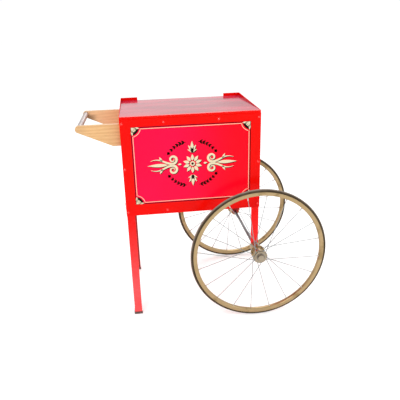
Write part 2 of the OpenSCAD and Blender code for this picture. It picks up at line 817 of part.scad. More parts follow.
// Places children at the handle screws' heads, pointing out of the cabinet's left side
module handle_screw_places(ys = [-board_y, board_y]) {
    for (y = ys, z = [board_low + screw_inset, board_top - screw_inset])
        translate([-skin_in + backing_t, y, z]) rotate([0, -90, 0]) children();
}

module screw_hole() {
    translate([0, 0, -1]) cylinder(r = screw_r + fit, h = screw_l + 2);
}

module handle_board(s) {
    color("burlywood") in_cart() difference() {
        translate([0, s * board_y + board_t / 2, 0]) rotate([90, 0, 0])
            linear_extrude(board_t) board_outline();
        handle_screw_places([s * board_y]) screw_hole();
        translate([grip_x, s * (board_in - eps), grip_z]) rotate([-90 * s, 0, 0])
            cylinder(r = bar_r + fit, h = socket_depth + eps);
    }
}

module front_handle_board() { handle_board(-1); }
module back_handle_board() { handle_board(1); }

module handle_crossbar() {
    half = board_in + socket_depth - 0.2;
    color("gainsboro") in_cart() translate([grip_x, 0, grip_z]) rotate([90, 0, 0])
        ring(bar_r, bar_r - bar_wall, -half, half);
}

module handle_plates() {
    color("silver") in_cart() difference() {
        for (s = [-1, 1]) translate([-skin_in, s * board_y - backing_w / 2, board_low])
            cube([backing_t, backing_w, board_h]);
        handle_screw_places() screw_hole();
    }
}

module handle_screws() {
    color("silver") in_cart() handle_screw_places() {
        translate([0, 0, -screw_head_h]) cylinder(r = screw_head_r, h = screw_head_h);
        translate([0, 0, -eps]) cylinder(r = screw_r, h = screw_l + eps);
    }
}

// ---- Door ----

hinge_heights = [sill_z + hinge_inset, lintel_z - hinge_inset];
leaf_rivet_x = hinge_leaf - leaf_rivet_inset;
leaf_rivet_z = [for (k = [-1, 0, 1]) k * (hinge_l / 2 - leaf_rivet_end)];

// Rivet spots of the hinge leaves, on the frame and on the door, pointing forwards
module frame_hinge_spots() {
    for (z = hinge_heights, dz = leaf_rivet_z)
        translate([door_left - leaf_rivet_x, return_in + hinge_t, z + dz]) rotate([90, 0, 0]) children();
}

module door_hinge_spots() {
    for (z = hinge_heights, dz = leaf_rivet_z)
        translate([door_left + leaf_rivet_x, return_in + hinge_t, z + dz]) rotate([90, 0, 0]) children();
}

// Knuckle k of three, from the bottom, as a solid barrel on the hinge axis at height z
module knuckle(z, k, r, spare = 0) {
    translate([door_left, hinge_axis_y, z - hinge_l / 2 + k * knuckle_l - spare])
        cylinder(r = r, h = knuckle_l + 2 * spare, $fn = 48);
}

module frame_hinge_leaves() {
    color("silver") in_cart() difference() {
        for (z = hinge_heights) {
            difference() {
                translate([door_left - hinge_leaf, return_in, z - hinge_l / 2])
                    cube([hinge_leaf, hinge_t, hinge_l]);
                knuckle(z, 1, knuckle_r + 0.4, 0.2);
            }
            knuckle(z, 0, knuckle_r);
            knuckle(z, 2, knuckle_r);
        }
        frame_hinge_spots() rivet_hole(hinge_t + sheet);
        hinge_bore(hinge_pin_r + fit);
    }
}

module hinge_bore(r) {
    translate([door_left, hinge_axis_y, sill_z]) cylinder(r = r, h = door_h, $fn = 32);
}

module hinge_pins() {
    color("gray") in_cart() for (z = hinge_heights) translate([door_left, hinge_axis_y, z - hinge_l / 2]) {
        cylinder(r = hinge_pin_r, h = hinge_l + 1, $fn = 32);
        translate([0, 0, hinge_l + fit]) cylinder(r = hinge_pin_r + 1, h = 1.2, $fn = 32);
    }
}

module frame_hinge_rivets() {
    color("silver") in_cart() frame_hinge_spots() rivet(hinge_t + sheet, 1.2);
}

// Door: sheet with folded edges and an inner lip
module door_panel() {
    w = door_w - 2 * door_gap;
    h = door_h - 2 * door_gap;
    color("red") in_cart() difference() {
        translate([door_left + door_gap, door_back, sill_z + door_gap]) difference() {
            cube([w, door_depth, h]);
            translate([sheet, sheet, sheet]) cube([w - 2 * sheet, door_depth - 2 * sheet, h - 2 * sheet]);
            translate([sheet + door_lip, -eps, sheet + door_lip])
                cube([w - 2 * (sheet + door_lip), sheet + 2 * eps, h - 2 * (sheet + door_lip)]);
        }
        door_hinge_spots() rivet_hole(hinge_t + sheet);
        knob_axis() translate([0, 0, -sheet - 1]) cylinder(r = knob_screw_r + fit, h = sheet + 2);
    }
}

module door_hinge_leaves() {
    color("silver") in_cart() difference() {
        for (z = hinge_heights) {
            difference() {
                translate([door_left, return_in, z - hinge_l / 2]) cube([hinge_leaf, hinge_t, hinge_l]);
                knuckle(z, 0, knuckle_r + 0.4, 0.2);
                knuckle(z, 2, knuckle_r + 0.4, 0.2);
            }
            knuckle(z, 1, knuckle_r, -0.2);
        }
        door_hinge_spots() rivet_hole(hinge_t + sheet);
        hinge_bore(hinge_pin_r + 0.07);
    }
}

module door_hinge_rivets() {
    color("silver") in_cart() door_hinge_spots() rivet(hinge_t + sheet, 1.2);
}

// Turns children's +Z outwards at the knob's place on the door's face
module knob_axis() {
    translate([knob_x, return_in, door_mid_z]) rotate([-90, 0, 0]) children();
}

module door_knob() {
    stem = knob_r * 0.55;
    color("black") in_cart() knob_axis() difference() {
        rotate_extrude() polygon([[0, 0], [stem + 2, 0], [stem, 3], [stem, knob_l * 0.4],
            [knob_r - 1, knob_l * 0.55], [knob_r, knob_l * 0.65], [knob_r, knob_l * 0.85],
            [knob_r - 2, knob_l - 1], [knob_r - 5, knob_l], [0, knob_l]]);
        translate([0, 0, -1]) cylinder(r = knob_screw_r + fit, h = knob_screw_l + 2);
    }
}

module knob_screw() {
    color("silver") in_cart() knob_axis() translate([0, 0, -sheet]) {
        translate([0, 0, -2.5]) cylinder(r = 2 * knob_screw_r, h = 2.5);
        translate([0, 0, -eps]) cylinder(r = knob_screw_r, h = sheet + knob_screw_l + eps);
    }
}

// Steel strip on the door's lip, at its free edge
module strike_plate() {
    color("silver") in_cart()
        translate([door_right - door_gap - door_lip, door_back - strike_t, door_mid_z - catch_l / 2])
            cube([door_lip, strike_t, catch_l]);
}

// Magnetic catch: a foot on the back panel and a block behind the strike plate
module door_catch() {
    face = door_back - strike_t - catch_gap;
    foot_x = door_right + 2;
    block_x = door_right - door_gap - door_lip;
    color("dimgray") in_cart() translate([0, 0, door_mid_z - catch_l / 2]) {
        translate([block_x, face - catch_t, 0]) cube([foot_x + catch_foot - block_x, catch_t, catch_l]);
        translate([foot_x, face - catch_t, 0]) cube([catch_foot, panel_in - face + catch_t, catch_l]);
    }
}

top_deck();
left_side_panel();
right_side_panel();
front_panel();
front_plate();
front_brace();
floor_panel();
back_panel();
front_rivets();
side_rivets();
back_rivets();
front_left_leg();
back_left_leg();
front_right_leg();
back_right_leg();
leg_bolts();
leg_nuts();
front_left_foot();
back_left_foot();
axle();
front_axle_spacer();
back_axle_spacer();
axle_washers();
front_axle_cap();
back_axle_cap();
front_tyre();
front_rim();
front_hub();
front_spokes();
front_nipples();
front_bushes();
back_tyre();
back_rim();
back_hub();
back_spokes();
back_nipples();
back_bushes();
front_handle_board();
back_handle_board();
handle_crossbar();
handle_plates();
handle_screws();
frame_hinge_leaves();
hinge_pins();
frame_hinge_rivets();
door_catch();
door_panel();
door_hinge_leaves();
door_hinge_rivets();
door_knob();
knob_screw();
strike_plate();
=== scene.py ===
import math

import bmesh
import bpy
from mathutils import Matrix, Vector
from mathutils.geometry import interpolate_bezier


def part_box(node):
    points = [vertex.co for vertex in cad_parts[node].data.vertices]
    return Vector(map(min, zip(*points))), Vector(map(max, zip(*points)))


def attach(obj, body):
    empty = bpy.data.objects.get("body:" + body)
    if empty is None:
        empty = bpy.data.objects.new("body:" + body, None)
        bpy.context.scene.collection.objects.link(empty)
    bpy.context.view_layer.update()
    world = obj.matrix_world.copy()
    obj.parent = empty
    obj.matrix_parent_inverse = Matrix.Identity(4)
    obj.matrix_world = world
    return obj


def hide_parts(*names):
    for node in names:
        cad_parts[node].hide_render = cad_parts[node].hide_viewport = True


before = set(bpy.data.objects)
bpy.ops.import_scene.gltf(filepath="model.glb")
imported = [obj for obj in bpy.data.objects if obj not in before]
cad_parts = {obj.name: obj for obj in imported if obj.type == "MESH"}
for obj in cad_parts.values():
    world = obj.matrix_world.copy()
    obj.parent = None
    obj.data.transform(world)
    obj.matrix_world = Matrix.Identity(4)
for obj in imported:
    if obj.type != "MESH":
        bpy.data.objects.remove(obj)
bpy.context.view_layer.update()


# ---- Camera, floor and studio light ----
# A cart for selling popcorn, standing on a pale studio floor. It is seen from the front, a little
# to the left and from above, under soft overhead lights and a white surround.

quarter = math.radians(90)
eye = Vector((-0.2675, -2.118, 1.2804))
heading = math.radians(-6.15)
tilt = math.radians(20.05)
roll = math.radians(-1.84)
turn = (Matrix.Rotation(heading, 4, "Z") @ Matrix.Rotation(quarter - tilt, 4, "X")
        @ Matrix.Rotation(roll, 4, "Z"))
lens = bpy.data.cameras.new("studio_camera")
lens.sensor_width = 36
lens.lens = 42.36
lens.shift_x = 0.0224
lens.shift_y = -0.0163
lens.clip_start = 0.01
camera = bpy.data.objects.new("studio_camera", lens)
camera.matrix_world = Matrix.Translation(eye) @ turn
bpy.context.scene.collection.objects.link(camera)
bpy.context.scene.camera = camera
bpy.context.scene.view_settings.view_transform = "Standard"


class Reading:
    """A number or vector that varies over a surface, so that a finish is written as sums."""

    def __init__(self, finish, socket):
        self.finish = finish
        self.socket = socket

    def maths(self, operation, first, second):
        return self.finish.node("ShaderNodeMath", {"operation": operation}, {0: first, 1: second})

    def __add__(self, other):
        return self.maths("ADD", self, other)

    __radd__ = __add__

    def __sub__(self, other):
        return self.maths("SUBTRACT", self, other)

    def __rsub__(self, other):
        return self.maths("SUBTRACT", other, self)

    def __mul__(self, other):
        return self.maths("MULTIPLY", self, other)

    __rmul__ = __mul__

    def size(self):
        """The reading with its sign dropped."""
        return self.finish.node("ShaderNodeMath", {"operation": "ABSOLUTE"}, {0: self})

    def step(self, low, high):
        """Rises smoothly from 0 where the reading is low to 1 where it is high."""
        inputs = {"Value": self, "From Min": low, "From Max": high}
        return self.finish.node("ShaderNodeMapRange", {"interpolation_type": "SMOOTHSTEP"}, inputs)


class Finish:
    """A finish of one material: its fixed properties, and what varies over the surface."""

    def __init__(self, name, fixed=None):
        self.material = bpy.data.materials.new(name)
        self.material.use_nodes = True
        self.tree = self.material.node_tree
        self.shader = self.tree.nodes["Principled BSDF"]
        for socket, value in (fixed or {}).items():
            self.shader.inputs[socket].default_value = value
        self.place = self.node("ShaderNodeTexCoord", {}, {}, "Object")

    def node(self, kind, settings, inputs, output=0):
        """Adds a node of this kind and gives one of its outputs."""
        node = self.tree.nodes.new(kind)
        for name, value in settings.items():
            setattr(node, name, value)
        for name, value in inputs.items():
            self.feed(node.inputs[name], value)
        return Reading(self, node.outputs[output])

    def feed(self, socket, value):
        if isinstance(value, Reading):
            self.tree.links.new(value.socket, socket)
        else:
            socket.default_value = value

    def along(self, axis):
        """The place along X, Y or Z, in metres."""
        return self.node("ShaderNodeSeparateXYZ", {}, {0: self.place}, axis)

    def noise(self, size, detail=2.0, stretch=(1, 1, 1)):
        """Cloudy values round 0.5, with lumps of this size in metres, longer where stretch is."""
        shrink = [1 / s for s in stretch]
        where = self.node("ShaderNodeMapping", {}, {"Vector": self.place, "Scale": shrink})
        inputs = {"Vector": where, "Scale": 1 / size, "Detail": detail}
        return self.node("ShaderNodeTexNoise", {}, inputs)

    def mix(self, share, first, second):
        """The first colour where share is 0 and the second where it is 1."""
        settings = {"data_type": "RGBA"}
        return self.node("ShaderNodeMix", settings, {0: share, 6: first, 7: second}, 2)

    def vary(self, **varying):
        """Feeds the shader's sockets: base_color, roughness, metallic, coat_weight, normal."""
        for name, value in varying.items():
            self.feed(self.shader.inputs[name.replace("_", " ").title()], value)

    def relief(self, height, depth):
        """Raises the surface by depth metres where height is 1."""
        inputs = {"Height": height, "Distance": depth, "Strength": 1.0}
        self.vary(normal=self.node("ShaderNodeBump", {}, inputs, "Normal"))


def dress(finish, *nodes):
    """Gives these CAD nodes a finish."""
    for node in nodes:
        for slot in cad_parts[node].material_slots:
            slot.material = finish.material


def finished(name, shape, finish, body, smooth=35):
    """Makes a shape a piece of the cart: its faces point outwards, and it rides on a body."""
    bmesh.ops.recalc_face_normals(shape, faces=shape.faces)
    mesh = bpy.data.meshes.new(name)
    shape.to_mesh(mesh)
    shape.free()
    mesh.shade_smooth()
    mesh.set_sharp_from_angle(angle=math.radians(smooth))
    mesh.materials.append(finish.material)
    piece = bpy.data.objects.new(name, mesh)
    bpy.context.scene.collection.objects.link(piece)
    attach(piece, body)
    return piece


floor_radius = 40.0
floor_finish = Finish("studio_floor", {"Specular IOR Level": 0.1, "Emission Color": (1, 1, 1, 1),
                                       "Emission Strength": 0.17})
floor_tone = floor_finish.mix(floor_finish.noise(1.5), (0.86, 0.86, 0.86, 1), (0.9, 0.9, 0.9, 1))
floor_finish.vary(base_color=floor_tone, roughness=0.9)
floor_shape = bmesh.new()
bmesh.ops.create_circle(floor_shape, cap_ends=True, segments=96, radius=floor_radius)
floor_mesh = bpy.data.meshes.new("studio_floor")
floor_shape.to_mesh(floor_mesh)
floor_shape.free()
floor_mesh.materials.append(floor_finish.material)
floor = bpy.data.objects.new("studio_floor", floor_mesh)
bpy.context.scene.collection.objects.link(floor)


def soft_light(name, place, aim, size, power):
    """A square softbox at place that faces aim."""
    lamp = bpy.data.lights.new(name, "AREA")
    lamp.size = size
    lamp.energy = power
    box = bpy.data.objects.new(name, lamp)
    facing = (Vector(aim) - Vector(place)).to_track_quat("-Z", "Y")
    box.matrix_world = Matrix.Translation(place) @ facing.to_matrix().to_4x4()
    bpy.context.scene.collection.objects.link(box)


soft_light("key_softbox", (-1.6, -2.6, 3.4), (0, 0, 0.6), 1.6, 58)
soft_light("fill_softbox", (2.8, -1.4, 2.4), (0, 0, 0.5), 1.8, 26)
soft_light("back_softbox", (0.6, 3.0, 3.0), (0, 0, 0.6), 2.0, 40)

surround = bpy.data.worlds.new("white_surround")
surround.use_nodes = True
surround_light = surround.node_tree.nodes["Background"]
surround_light.inputs["Color"].default_value = (1.0, 1.0, 1.0, 1)
surround_light.inputs["Strength"].default_value = 1.02
bpy.context.scene.world = surround


# ---- Painted sheet metal ----
# The cabinet is made of folded steel sheets, stove-enamelled in one bright red before they are
# riveted together: two sides that turn round the corners, front, floor, back and a hidden brace.

def red_enamel(name, shine, matt, deep, bright):
    """Sprayed enamel: slightly uneven colour and a faint orange peel, dusty and chipped low down."""
    finish = Finish(name, {"Specular IOR Level": shine})
    cloud = finish.noise(0.35, 3) * 0.6 + finish.noise(0.06, 3) * 0.4
    peel = finish.noise(0.0035, 2)
    speckle = finish.noise(0.02, 4)
    scuffed = 1 - finish.along("Z").step(0.02, 0.34)
    chips = (finish.noise(0.006, 5) * (0.55 + scuffed * 0.18)).step(0.47, 0.5)
    paint = finish.mix(cloud, deep, bright)
    dusty = finish.mix(scuffed * speckle * 0.16, paint, (0.42, 0.2, 0.15, 1))
    finish.vary(base_color=finish.mix(chips * scuffed, dusty, (0.2, 0.16, 0.15, 1)),
                roughness=matt + speckle * 0.08 + scuffed * 0.12)
    finish.relief(peel + chips * -2, 0.00006)
    return finish


cabinet_red = red_enamel("cabinet_red", 0.07, 0.2, (0.52, 0.0015, 0.0006, 1), (0.87, 0.003, 0.001, 1))
dress(cabinet_red, "left_side_panel", "right_side_panel", "front_panel", "front_brace",
      "floor_panel", "back_panel")


# ---- Deck ----
# The deck is a sheet between the two sides, polished to a deep gloss where the machine stands.
# Its front edge folds down over the front panel, and fine rub marks show where machines slid.

deck_low, deck_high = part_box("top_deck")


def polished_deck():
    """Red gloss with painted reflection bands across the top, rub marks along the deck, duller towards
    the wheels.
    """
    finish = Finish("polished_deck", {"Specular IOR Level": 0.07, "Coat Roughness": 0.1})
    level = finish.along("Z").step(deck_high.z - 0.0022, deck_high.z - 0.0004)
    fold = 1 - finish.along("Y").step(deck_low.y + 0.004, deck_low.y + 0.03)
    wear_and_painted_sheen = finish.noise(0.010, 4, (22, 1, 1)).step(0.5, 0.8)
    cloud = finish.noise(0.18, 3)
    # Painted reflection: the top's colour swaps between a darker and a lighter crimson in streaky
    # bands.
    bands = finish.noise(0.07, 3, (4, 1, 1)).step(0.35, 0.65)
    top = finish.mix(bands, (0.28, 0.009, 0.036, 1), (0.47, 0.018, 0.056, 1))
    edge = finish.mix(cloud, (0.76, 0.002, 0.0008, 1), (0.90, 0.004, 0.0015, 1))
    rubbed_top = finish.mix(wear_and_painted_sheen * 0.22, top, (0.6, 0.26, 0.28, 1))
    dulled = finish.along("X").step(deck_high.x - 0.20, deck_high.x - 0.02)
    finish.vary(base_color=finish.mix(level, edge, finish.mix(fold * 0.7, rubbed_top, edge)),
                roughness=0.14 + wear_and_painted_sheen * 0.12,
                coat_weight=level * (0.40 - wear_and_painted_sheen * 0.10) * (1 - dulled * 0.75))
    finish.relief(finish.noise(0.005, 2), 0.00003)
    return finish


dress(polished_deck(), "top_deck")


# ---- Decorated front plate ----
# A thin sheet in crimson enamel, fixed on the front panel. A cream line with hollow corners runs
# round it, with a leaf fan in each corner and scrolls round a rosette in the middle.

plate_low, plate_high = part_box("front_plate")
plate_mid = Vector(((plate_low.x + plate_high.x) / 2, plate_low.y, (plate_low.z + plate_high.z) / 2))
plate_half_w = (plate_high.x - plate_low.x) / 2
plate_half_h = (plate_high.z - plate_low.z) / 2


def crimson_enamel():
    """Crimson with a painted pinkish reflection towards the handle, giving way to plain red towards the
    wheels.
    """
    finish = Finish("crimson_enamel", {"Specular IOR Level": 0.07})
    cloud = finish.noise(0.16, 4)
    speckle = finish.noise(0.012, 4)
    # Painted reflection: the crimson is pinker towards the handle and plain red towards the wheels.
    plain_red_side = finish.along("X").step(plate_mid.x - 0.10, plate_high.x - 0.04)
    sheened_crimson = finish.mix(cloud, (0.80, 0.0015, 0.038, 1), (0.93, 0.003, 0.056, 1))
    finish.vary(base_color=finish.mix(plain_red_side * 0.9, sheened_crimson, (0.80, 0.0008, 0.007, 1)),
                roughness=0.2 + speckle * 0.1)
    finish.relief(finish.noise(0.004, 2), 0.00005)
    return finish


def printing_ink(name, shine, thin, full):
    """Screen-printed ink: a little mottled, where the squeegee left it thinner."""
    finish = Finish(name, {"Specular IOR Level": shine})
    mottle = finish.noise(0.004, 3) * 0.6 + finish.noise(0.03, 2) * 0.4
    finish.vary(base_color=finish.mix(mottle, thin, full), roughness=0.35 + mottle * 0.15)
    finish.relief(mottle, 0.00004)
    return finish


dress(crimson_enamel(), "front_plate")
cream_ink = printing_ink("cream_ink", 0.2, (0.56, 0.46, 0.29, 1), (0.73, 0.65, 0.45, 1))
black_ink = printing_ink("black_ink", 0.03, (0.02, 0.004, 0.002, 1), (0.004, 0.002, 0.0015, 1))
ink_lift = 0.00015


def pointing(angle):
    """A step of one metre over the plate in this direction."""
    return Vector((math.cos(angle), math.sin(angle)))


def ribbon(shape, line, widths):
    """A flat band along a line of points (across, up), as wide as given at each point."""
    last = None
    for i, point in enumerate(line):
        ahead = line[min(i + 1, len(line) - 1)] - line[max(i - 1, 0)]
        side = Vector((-ahead.y, ahead.x)).normalized() * widths[i] / 2
        here = [shape.verts.new((point + reach).to_3d()) for reach in (side, -side)]
        if last:
            shape.faces.new([last[0], last[1], here[1], here[0]])
        last = here


def leaf(shape, base, angle, length, width, points=9):
    """A pointed leaf that grows from base at this angle."""
    shares = [i / (points - 1) for i in range(points)]
    line = [base + pointing(angle) * length * share for share in shares]
    ribbon(shape, line, [max(width * math.sin(math.pi * share ** 0.8), 0.0001) for share in shares])


def disc(shape, middle, radius):
    """A flat round patch."""
    place = Matrix.Translation(middle.to_3d())
    bmesh.ops.create_circle(shape, cap_ends=True, segments=40, radius=radius, matrix=place)


def printed(name, shape, ink, layer):
    """Gives flat shapes the thickness of ink and lays them on the plate, layer by layer."""
    raised = bmesh.ops.extrude_face_region(shape, geom=shape.faces[:], use_keep_orig=True)
    lifted = [part for part in raised["geom"] if isinstance(part, bmesh.types.BMVert)]
    bmesh.ops.translate(shape, vec=(0, 0, ink_lift * (layer + 1)), verts=lifted)
    upright = Matrix.Translation(plate_mid) @ Matrix.Rotation(quarter, 4, "X")
    bmesh.ops.transform(shape, matrix=upright, verts=shape.verts)
    return finished(name, shape, ink, "cart")


def corners():
    """Each corner of the plate, with the angle at which its quarter circle starts."""
    for across, up, start in ((1, 1, 180), (-1, 1, 270), (-1, -1, 0), (1, -1, 90)):
        yield Vector((across * plate_half_w, up * plate_half_h)), math.radians(start)


def arc(middle, radius, start, turn_by, steps=12):
    """Points along part of a circle."""
    angles = [start + turn_by * i / steps for i in range(steps + 1)]
    return [middle + radius * pointing(angle) for angle in angles]


# The two lines: a black one at the edge, and a cream one that turns round the corner fans
edge_inset = 0.0022
edge_width = 0.0034
line_inset = 0.0078
line_width = 0.0021
hollow = 0.041

edge_line = [Vector((s * (plate_half_w - edge_inset), t * (plate_half_h - edge_inset)))
             for s, t in ((1, 1), (-1, 1), (-1, -1), (1, -1))]
black_edge = bmesh.new()
for first, second in zip(edge_line, edge_line[1:] + edge_line[:1]):
    overrun = (second - first).normalized() * edge_width / 2
    ribbon(black_edge, [first - overrun, second + overrun], [edge_width] * 2)
printed("plate_edge_line", black_edge, black_ink, 0)

cream_line = []
slant = math.asin(line_inset / hollow)
for corner, start in corners():
    cream_line += reversed(arc(corner, hollow, start + slant, quarter - 2 * slant))
cream_line += cream_line[:2]
cream_border = bmesh.new()
ribbon(cream_border, cream_line, [line_width] * len(cream_line))
printed("plate_border_line", cream_border, cream_ink, 0)

# Corner fans: a ribbed cream quarter disc with two side leaves, inside a black quarter ring
fan_radius = 0.0205
fan_inner = 0.0225
fan_outer = 0.0345
ring_gap = 0.12
side_leaf_lean = 0.09
cream_fans = bmesh.new()
black_fans = bmesh.new()
fan_ribs = bmesh.new()
for corner, start in corners():
    root = corner * (1 - edge_width * 1.2 / corner.length)
    fan = arc(root, fan_radius / 2, start, quarter)
    ribbon(cream_fans, fan, [fan_radius] * len(fan))
    for angle in (start + side_leaf_lean, start + quarter - side_leaf_lean):
        leaf(cream_fans, root + pointing(angle) * 0.012, angle, length=0.022, width=0.0072)
    ring = arc(corner, (fan_inner + fan_outer) / 2, start + ring_gap, quarter - 2 * ring_gap)
    ribbon(black_fans, ring, [fan_outer - fan_inner] * len(ring))
    for share in (0.25, 0.5, 0.75):
        rib = pointing(start + quarter * share)
        ribbon(fan_ribs, [root + rib * 0.007, root + rib * fan_radius], [0.0004, 0.0021])
printed("plate_corner_rings", black_fans, black_ink, 1)
printed("plate_corner_fans", cream_fans, cream_ink, 2)
printed("plate_corner_ribs", fan_ribs, black_ink, 3)


def scroll(shape, side, rise):
    """A stem that uncurls from a volute and runs out to a point at the side."""
    middle = Vector((0.083, 0.0225))
    eye_radius = 0.004
    curl_growth = 0.0145
    turns = math.radians(500)
    steps = 30
    curl = []
    for i in range(steps + 1):
        share = i / steps
        radius = eye_radius + curl_growth * share
        curl.append(middle + radius * pointing(-quarter - turns * (1 - share)))
    stem = interpolate_bezier(curl[-1].to_3d(), Vector((0.118, 0.003, 0)), Vector((0.132, 0.036, 0)),
                              Vector((0.176, 0.020, 0)), 16)
    line = curl + [point.to_2d() for point in stem[1:]]
    line = [Vector((side * point.x, rise * point.y)) for point in line]
    shares = [i / (len(line) - 1) for i in range(len(line))]
    tip = 0.0014
    swell = 0.0088
    ribbon(shape, line, [tip + swell * math.sin(math.pi * share ** 1.25) for share in shares])


def middle_ornament(shape):
    """Rosette, two pairs of scrolls with a spear leaf between them, and a palmette above and below."""
    petals = 10
    for i in range(petals):
        angle = math.radians(360 / petals * (i + 0.5))
        leaf(shape, 0.014 * pointing(angle), angle, length=0.027, width=0.0135)
    disc(shape, Vector((0, 0)), 0.0105)
    for side in (1, -1):
        outwards = 90 - 90 * side
        for rise in (1, -1):
            scroll(shape, side, rise)
            leaf(shape, Vector((side * 0.128, rise * 0.016)),
                 math.radians(outwards + side * rise * 62), length=0.024, width=0.0085)
        leaf(shape, Vector((side * 0.104, 0)), math.radians(outwards), length=0.086, width=0.0145)
        leaf(shape, Vector((side * 0.047, 0)), math.radians(outwards), length=0.016, width=0.0085)
    for rise in (1, -1):
        for swing, length, width in ((0, 0.048, 0.014), (34, 0.037, 0.0105), (66, 0.030, 0.009)):
            for side in ((1, -1) if swing else (1,)):
                leaf(shape, Vector((side * swing * 0.00011, rise * 0.050)),
                     math.radians(90 * rise + side * rise * swing), length, width)


def garlands(shape):
    """Black sprays of leaves that hang on both sides of the palmettes."""
    steps = 12
    lean = math.radians(34)
    for side in (1, -1):
        for rise in (1, -1):
            stem = [Vector((side * (0.026 + 0.0064 * i), rise * (0.094 - 0.00033 * i * i)))
                    for i in range(steps + 1)]
            ribbon(shape, stem, [0.0028 - 0.00014 * i for i in range(steps + 1)])
            for i in range(1, steps, 2):
                ahead = stem[i + 1] - stem[i - 1]
                middle = math.atan2(ahead.y, ahead.x)
                for angle in (middle + lean, middle - lean):
                    leaf(shape, stem[i], angle, length=0.0175 - 0.0005 * i, width=0.0072)
            ahead = stem[-1] - stem[-2]
            leaf(shape, stem[-2], math.atan2(ahead.y, ahead.x), length=0.016, width=0.007)


drop_shadow = bmesh.new()
middle_ornament(drop_shadow)
bmesh.ops.translate(drop_shadow, vec=(0.0026, -0.0030, 0), verts=drop_shadow.verts)
garlands(drop_shadow)
printed("plate_ornament_shadow", drop_shadow, black_ink, 1)
cream_ornament = bmesh.new()
middle_ornament(cream_ornament)
printed("plate_ornament", cream_ornament, cream_ink, 2)
rosette_eye = bmesh.new()
disc(rosette_eye, Vector((0, 0)), 0.0052)
printed("plate_rosette_eye", rosette_eye, black_ink, 3)


# ---- Rivets ----
# Dome-headed rivets hold the sheets together. They are set before the enamel, so they are red too,
# with the paint a little thicker and glossier on the heads.

rivet_red = red_enamel("rivet_red", 0.6, 0.12, (0.82, 0.02, 0.018, 1), (0.95, 0.035, 0.03, 1))
dress(rivet_red, "front_rivets", "side_rivets", "back_rivets")


# ---- Legs ----
# Each leg is a length of steel angle in the cabinet's corner, riveted and bolted through the
# sheet and enamelled with it. Zinc-plated bolts and nuts, brown moulded caps on the left feet.

def zinc_plate(name, light, dark, matt):
    finish = Finish(name, {"Metallic": 1.0})
    spangle = finish.noise(0.003, 3)
    stain = finish.noise(0.02, 4).step(0.45, 0.75)
    finish.vary(base_color=finish.mix(stain, light, dark), roughness=matt + spangle * 0.2)
    finish.relief(spangle, 0.00003)
    return finish


def moulded_plastic(name, dark, light, matt):
    finish = Finish(name, {"Specular IOR Level": 0.4})
    grain = finish.noise(0.0012, 2)
    worn = finish.noise(0.01, 4).step(0.5, 0.8)
    finish.vary(base_color=finish.mix(worn, dark, light), roughness=matt + worn * 0.15)
    finish.relief(grain, 0.00008)
    return finish


leg_wall = 0.003


def leg_enamel(name, outer_x, outer_y, inwards, forwards):
    """Red like the cabinet, with painted shade inside the angle and a painted pinkish reflection of the
    floor towards the foot.
    """
    finish = Finish(name, {"Specular IOR Level": 0.12})
    cloud = finish.noise(0.08, 3)
    edge = outer_x * inwards
    inner = outer_y * forwards + leg_wall
    # Painted shade: the faces inside the angle are darkened, where the other flange shades them.
    inside_x = (finish.along("X") * inwards).step(edge + 0.0003, edge + 0.0009)
    inside_y = (finish.along("Y") * forwards).step(inner - 0.0006, inner - 0.0002)
    # Painted reflection of the pale floor: the paint turns pinker towards the foot.
    wear_and_painted_sheen = 1 - finish.along("Z").step(0.10, 0.50)
    paint = finish.mix(cloud, (0.76, 0.002, 0.0008, 1), (0.90, 0.004, 0.0015, 1))
    pale = finish.mix(wear_and_painted_sheen * (0.45 + cloud * 0.7), paint, (0.93, 0.088, 0.094, 1))
    finish.vary(base_color=finish.mix(inside_x * inside_y * 0.75, pale, (0.15, 0.012, 0.010, 1)),
                roughness=0.22 + finish.noise(0.02, 4) * 0.1)
    finish.relief(finish.noise(0.0035, 2), 0.00006)
    return finish


for node in ("front_left_leg", "back_left_leg", "front_right_leg", "back_right_leg"):
    low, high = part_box(node)
    outer_x, inwards = (low.x, 1) if "left" in node else (high.x, -1)
    outer_y, forwards = (low.y, 1) if "front" in node else (high.y, -1)
    dress(leg_enamel(node + "_red", outer_x, outer_y, inwards, forwards), node)
bright_zinc = zinc_plate("bright_zinc", (0.68, 0.68, 0.70, 1), (0.56, 0.55, 0.54, 1), 0.28)
dress(bright_zinc, "leg_bolts", "leg_nuts")
dull_zinc = zinc_plate("dull_zinc", (0.27, 0.235, 0.20, 1), (0.19, 0.165, 0.14, 1), 0.45)
dress(dull_zinc, "axle_washers")
foot_brown = moulded_plastic("foot_brown", (0.085, 0.042, 0.035, 1), (0.19, 0.09, 0.075, 1), 0.45)


def softened(node, radius, segments=2, sharp=50):
    """A CAD node's shape as one closed shape, with its sharp edges rounded."""
    shape = bmesh.new()
    shape.from_mesh(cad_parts[node].data)
    bmesh.ops.remove_doubles(shape, verts=shape.verts, dist=1e-6)
    bmesh.ops.dissolve_limit(shape, angle_limit=math.radians(1), verts=shape.verts, edges=shape.edges)
    edges = [edge for edge in shape.edges if edge.calc_face_angle(0) > math.radians(sharp)]
    bmesh.ops.bevel(shape, geom=edges, offset=radius, offset_type="OFFSET", segments=segments,
                    profile=0.5, affect="EDGES", material=-1, clamp_overlap=True)
    return shape


for node in ("front_left_foot", "back_left_foot"):
    foot = finished(node + "_cap", softened(node, 0.0009), foot_brown, "cart", 60)
    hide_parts(node)


# ---- Axle ----
# One dark steel bar runs through the eyes of the right-hand legs. Thick spacer sleeves and zinc
# washers hold the wheels in place, and domed caps in the wheels' bronze close its ends.

def dark_steel():
    finish = Finish("dark_steel", {"Metallic": 0.9})
    drawn = finish.noise(0.0015, 3, (1, 30, 1))
    oil = finish.noise(0.03, 3)
    finish.vary(base_color=finish.mix(oil, (0.10, 0.095, 0.10, 1), (0.20, 0.19, 0.19, 1)),
                roughness=0.32 + drawn * 0.2)
    finish.relief(drawn, 0.00003)
    return finish


hub_nose = 0.0065       # how far a hub's end stands out past its outer flange
flange_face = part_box("back_hub")[1].y - hub_nose


